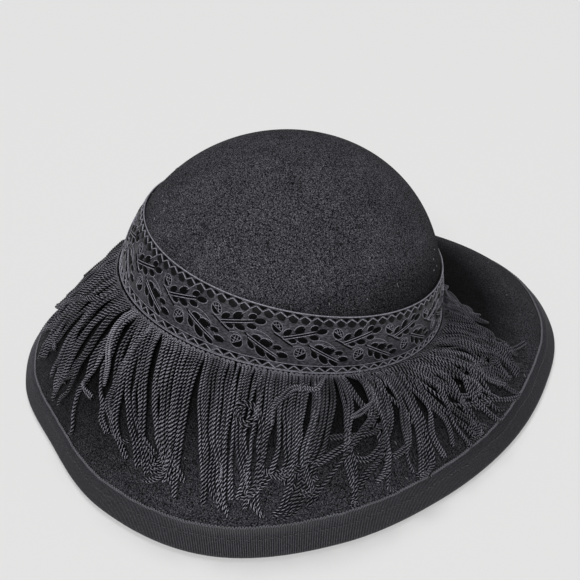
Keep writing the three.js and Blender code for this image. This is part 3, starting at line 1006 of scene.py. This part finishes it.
# Loose cords: root angle, then angles and lengths down the brim that the cord passes
STRAYS = [
    (266, [(261, 22), (257, 27), (253, 30)]),
    (267, [(263, 29), (259.5, 36), (256, 38), (251, 38), (247.5, 38.5)]),
    (263, [(260, 27), (255.5, 36), (253, 40), (248, 45.5), (244, 50.5)]),
    (264.5, [(261.5, 26.5), (256.5, 35), (252, 43), (247.5, 53), (244.5, 61), (243, 66.5)]),
    (256, [(254.5, 23), (252, 35.5), (250.5, 46), (250.5, 53.5), (251, 62)]),
    (265.5, [(263, 28), (259.5, 42), (257.5, 50), (254, 56), (251.5, 63)]),
    (262, [(261.5, 24.5), (260.5, 37), (260, 47), (258.5, 55), (255.5, 60.5)]),
    (268, [(264.5, 28.5), (261, 40), (257.5, 46.5), (255, 49.5), (252.5, 48.5), (250.5, 46)]),
    (270, [(268.5, 27.5), (267, 39), (265.5, 46), (263.5, 48.5), (261, 50.5)]),
    (271, [(268.5, 24.5), (266.5, 34.5), (265, 45), (264, 52.5), (264.5, 59.5)]),
    (273, [(270.5, 26), (269, 41), (267.5, 53), (266, 62.5)]),
    (274, [(271.5, 26.5), (269, 44), (268, 55.5), (268, 69.5)]),
    (275, [(273.5, 20), (274.5, 34), (272, 46), (273, 58)]),
    (277, [(277.5, 18), (276, 30), (278, 42), (276.5, 55)]),
    (279, [(281, 16), (281.5, 30), (279, 44), (281, 60)]),
    (281, [(283, 20), (280.5, 33), (283.5, 47), (288, 57)]),
    (282, [(285, 14), (287, 28), (284.5, 42), (286, 58)]),
    (285, [(289, 14), (291.5, 27), (289, 40), (291, 55), (294, 62)]),
    (288, [(293, 15), (295.5, 28), (293.5, 40), (297, 52)]),
    (291, [(297, 14), (300, 26), (298, 38), (302, 50)]),
    (276, [(278.5, 23.5), (281.5, 36), (287.5, 42.5), (293.5, 47.5), (299, 55.5), (304.5, 63)]),
    (248, [(246, 22.5), (243.5, 35), (241.5, 46.5), (242, 55.5), (243, 62.5)]),
    (251, [(246.5, 15), (243, 14.5), (240, 15.5), (237.5, 20), (235.5, 24.5), (235, 34)]),
    (232, [
        (231.9, 20), (231.8, 29), (230.9, 34), (229.3, 35.8), (227.6, 33.5), (227.2, 29.5), (228.6, 26.3),
        (230.6, 27), (232.3, 30.5), (233, 38), (233, 50), (232.5, 62),
    ]),
    (163, [(158, 54), (151.5, 71.5), (150, 80)]),
    (172, [(170, 17), (156, 40), (139.5, 78.5)]),
    (185, [(186.5, 17.5), (188.5, 24.5), (192, 32.5), (193.5, 42)]),
    (186.5, [(187, 22.5), (188.5, 38.5), (187, 49), (191.5, 51)]),
    (194, [(196.5, 31.5), (197, 38), (197, 46), (198.5, 50.5), (201, 53.5)]),
    (303, [(306.5, 23), (307, 32), (311, 40), (315, 47.5), (321, 57)]),
    (290, [(291, 26), (293, 34), (292.5, 40.5), (288, 37.5), (284, 32.5)]),
]


def cord_routes():
    """Angles and lengths down the brim of every pendant's middle line, and its share along."""
    rows = np.array(LEAN_ROWS, float)
    count = PENDANTS
    root = (np.arange(count) + random.uniform(-0.2, 0.2, count)) / count * 360
    values = [np.interp(root, rows[:, 0], rows[:, k]) for k in range(1, 7)]
    first, middle, last, loose, reach, gather = values
    # clumps of four to eight pendants, drawn together towards their tips
    edges = np.cumsum(random.integers(4, 9, count))
    clump = np.searchsorted(edges, np.arange(count), side="right")
    low, high = np.concatenate([[0], edges])[clump], edges[clump]
    inside = (np.arange(count) + 0.5 - low) / (high - low) * 2 - 1
    middle = middle - inside * CLUMP_MIDDLE * gather
    last = last - inside * CLUMP_TIP * gather
    first = first + random.normal(0, 4, count) * loose
    middle = middle + random.normal(0, 8, count) * loose
    last = last + random.normal(0, 30, count) * loose
    length = CORD_LENGTH * reach * random.uniform(0.86, 1.04, count)
    steps = int(CORD_LENGTH / CORD_STEP)
    share = np.linspace(0, 1, steps)
    step = length / (steps - 1)
    early = np.clip(share * 2, 0, 1)[None]
    late = np.clip(share * 2 - 1, 0, 1)[None]
    heading = first[:, None] + (middle - first)[:, None] * early + (last - middle)[:, None] * late
    for cycles, amount in ((1.3, 14), (2.9, 17), (5.3, 12)):
        swing = random.normal(0, amount, (count, 1)) * loose[:, None]
        phase = random.uniform(0, 2 * np.pi, (count, 1))
        heading += swing * share[None] * np.sin(share[None] * 2 * np.pi * cycles + phase)
    curled = random.random(count) < 0.2 * loose
    curl = np.where(curled, random.choice([-1, 1], count) * random.uniform(60, 170, count), 0)
    heading += curl[:, None] * np.clip((share[None] - 0.68) / 0.32, 0, 1) ** 1.4
    heading = np.radians(heading)
    angle = np.zeros((count, steps))
    down = np.zeros((count, steps))
    angle[:, 0] = np.radians(root)
    down[:, 0] = 1.2
    for k in range(1, steps):
        radius = place_in(TABLE, angle[:, k - 1], down[:, k - 1])[..., 0]
        apart = np.mod(np.roll(angle[:, k - 1], -1) - angle[:, k - 1] + 0.5, 2 * np.pi) - 0.5
        free = np.clip(1.35 - share[k] * 1.35, 0, 1)
        push = np.clip(PENDANT_GAP - apart * radius, 0, 1) * 0.22 * free * (np.abs(heading[:, k]) < 0.9)
        angle[:, k - 1] += (np.roll(push, 1) - push) / radius
        room = round_row(EDGE_RUNS, angle[:, k - 1]) - BINDING_COVER - 2 - down[:, k - 1]
        slow = np.clip(room / 6, 0, 1)
        side, ahead = np.sin(heading[:, k]), np.cos(heading[:, k])
        spread = side + (1 - slow) * np.sign(side) * (1 - np.abs(side))
        angle[:, k] = angle[:, k - 1] + spread * step / radius
        down[:, k] = down[:, k - 1] + np.where(ahead > 0, ahead * slow, ahead) * step
    loose_angle, loose_down = stray_routes(steps)
    angle = np.concatenate([angle, loose_angle])
    down = np.concatenate([down, loose_down])
    length = np.concatenate([length, np.full(len(STRAYS), CORD_LENGTH)])
    loose = np.concatenate([loose, np.full(len(STRAYS), 0.3)])
    return angle, np.maximum(down, 1.0), share, length, loose


def stray_routes(steps):
    """Angles and lengths down the brim of the loose pendants."""
    rows = []
    for start, route in STRAYS:
        first = (start * 0.6 + route[0][0] * 0.4, 9.0)
        line = smooth_line([(start, 1.2), first, *route], 120)
        turn = np.radians(line[:, 0])
        points = on_felt(turn, line[:, 1], 3.0)[0]
        run = run_along(points)
        even = np.linspace(0, run[-1], steps)
        turn, fall = np.interp(even, run, turn), np.interp(even, run, line[:, 1])
        rows.append((turn, np.minimum(fall, round_row(EDGE_RUNS, turn) - BINDING_COVER - 2)))
    angles, downs = zip(*rows)
    return np.array(angles), np.array(downs)


def painted_light_at(angle):
    """Painted light and shade of the cords at a root angle."""
    places = np.array(CORD_PAINTED_LIGHT)
    return np.interp(np.degrees(angle) % 360, places[:, 0], places[:, 1])


def make_cords():
    """Pendants of two twisted cords side by side, joined where they end."""
    angle, down, share, length, loose = cord_routes()
    count = len(angle)
    layer = np.array([0.0, 1.5, 0.6, 2.2])[np.arange(count) % 4] + random.uniform(0, 1.0, count) * loose
    layer[PENDANTS:] = random.uniform(2.4, 4.2, count - PENDANTS)
    lift = np.clip(share[None] * 7, 0, 1)
    cycles = random.uniform(0.8, 2.6, (count, 1))
    phase = random.uniform(0, 2 * np.pi, (count, 1))
    ripple = 0.6 * (1 + np.sin(share[None] * 2 * np.pi * cycles + phase)) * loose[:, None]
    settle = 1 - 0.5 * np.clip(share[None] * 2 - 1, 0, 1)
    out = HALF_FELT + CORD_RADIUS + 0.55 - 0.5 * lift + (layer[:, None] + ripple) * lift * settle
    radius = place_in(TABLE, angle, down)[..., 0]
    across = np.gradient(angle, axis=1) * radius
    along = np.gradient(down, axis=1)
    size = np.hypot(across, along) + 1e-9
    across, along = across / size, along / size
    turns = random.normal(0, 0.9, (count, 1))
    turn = turns * np.sin(share[None] * 2 * np.pi * random.uniform(0.4, 1.2, (count, 1)) + phase)
    meet = np.clip((1 - share) * CORD_LENGTH / 2.2, 0.0, 1)[None] ** 0.5 * 0.75 + 0.25
    points, outs = [], []
    for hand in (1, -1):
        beside = hand * LEG_OFFSET * np.cos(turn) * meet
        above = LEG_OFFSET * (hand * np.sin(turn) + np.abs(np.sin(turn))) * lift
        place, normal = on_felt(angle + along * beside / radius, down - across * beside, out + above)
        points.append(place)
        outs.append(normal)
    points, outs = np.stack(points, 1), np.stack(outs, 1)
    spin = random.uniform(0, 2 * np.pi, (count, 2, 1))
    spin = spin - np.arange(len(share)) * 2 * np.pi / TWIST_STEPS
    close = np.clip((1 - share) * CORD_LENGTH / 0.8, 0.35, 1) ** 0.5 * MM + 0 * spin
    # Painted light and shade: each cord is painted lighter or darker by its root angle, loose cords lighter
    # still, times a random tone of its own.
    tone = painted_light_at(angle[:, 0])
    tone[PENDANTS:] = np.clip(tone[PENDANTS:] * 1.4, 0.6, 1.1)
    tone = tone * random.uniform(0.7, 1.2, count)
    for part in range(CORD_PIECES):
        pick = np.arange(count) * CORD_PIECES // count == part
        rows = (-1, len(share))
        verts, faces, relief = twisted(
            points[pick].reshape(*rows, 3), outs[pick].reshape(*rows, 3), spin[pick].reshape(rows),
            STRAND_OFFSET * close[pick].reshape(rows), STRAND_SIZE * close[pick].reshape(rows),
            np.repeat(tone[pick], 2),
        )
        add_mesh(f"fringe_cords_{part + 1}", verts, faces, CORD, "fringe_cord", "fringe", relief)


def make_header():
    """Round loops along the band's foot, from which the cords hang."""
    count = HEADER_LOOPS
    t = np.linspace(0, 1, 10)
    centre = (np.arange(count) + random.uniform(-0.12, 0.12, count))[:, None] / count * 2 * np.pi
    turn = (-0.15 + 1.3 * t[None]) * np.pi
    wide = random.uniform(0.72, 0.9, (count, 1))
    angle = centre + np.cos(turn) * wide / HEADER_RADIUS
    down = 2.2 - np.sin(turn) * random.uniform(1.1, 1.5, (count, 1))
    out = 2.9 + 0.5 * np.sin(turn) + random.uniform(-0.1, 0.25, (count, 1))
    points, outs = on_felt(angle, down, out)
    verts, faces = tubes(points, outs, circle(HEADER_THREAD * MM, 5))
    # Painted highlight and shade: every loop gets one fixed light crest value and the cords' painted light
    # and shade by its angle.
    tone = painted_light_at(centre[:, 0])
    relief = np.stack([np.full(len(verts), HEADER_PAINTED_HIGHLIGHT), np.repeat(tone, len(t) * 5)], -1)
    add_mesh("fringe_header_loops", verts, faces, CORD, "fringe_cord", uv=relief)


make_cords()
make_header()


# Lint: short pale fibres caught in the felt's nap
LINT = 90
LINT_RADIUS = 0.11


def make_lint():
    angle = random.uniform(0, 2 * np.pi, LINT)
    down = np.where(
        np.arange(LINT) % 3 > 0, random.uniform(-58, -36, LINT), random.uniform(30, 66, LINT),
    )
    turn = random.uniform(0, 2 * np.pi, LINT)
    bend = random.normal(0, 1.6, LINT)
    step = random.uniform(0.12, 0.5, LINT)
    line = [np.stack([np.zeros(LINT), down], -1)]
    for _ in range(5):
        move = np.stack([np.cos(turn), np.sin(turn)], -1) * step[:, None]
        line.append(line[-1] + move)
        turn = turn + bend * 0.4
    line = np.stack(line, 1)
    radius = place_in(TABLE, angle, down)[..., 0]
    points, outs = on_felt(angle[:, None] + line[..., 0] / radius[:, None], line[..., 1], HALF_FELT + 0.12)
    verts, faces = tubes(points, outs, circle(LINT_RADIUS * MM, 4))
    add_mesh("felt_lint", verts, faces, LINT_FIBRE, "felt")


make_lint()


# Floor and light
FLOOR_HALF = 3.0


def make_stage():
    mesh = bpy.data.meshes.new("floor")
    corners = [(x * FLOOR_HALF, y * FLOOR_HALF, 0) for x, y in ((-1, -1), (1, -1), (1, 1), (-1, 1))]
    mesh.from_pydata(corners, [], [(0, 1, 2, 3)])
    floor = bpy.data.objects.new("floor", mesh)
    bpy.context.scene.collection.objects.link(floor)
    material, tree, bsdf = shader("floor", (0.85, 0.848, 0.845), 0.9)
    mesh.materials.append(material)
    world = bpy.data.worlds.new("studio")
    bpy.context.scene.world = world
    world.use_nodes = True
    world.node_tree.nodes["Background"].inputs["Color"].default_value = (0.97, 0.97, 0.98, 1)
    world.node_tree.nodes["Background"].inputs["Strength"].default_value = 0.1


def add_light(name, azimuth, elevation, spread, strength):
    light = bpy.data.objects.new(name, bpy.data.lights.new(name, "SUN"))
    bpy.context.scene.collection.objects.link(light)
    light.data.angle = math.radians(spread)
    light.data.energy = strength
    back = toward(math.radians(azimuth), math.radians(elevation))
    light.location = back
    light.rotation_mode = "QUATERNION"
    light.rotation_quaternion = (-back).to_track_quat("-Z", "Y")


make_stage()
add_light("key", 68, 62, 28, 0.95)
add_light("fill", -130, 42, 34, 2.6)
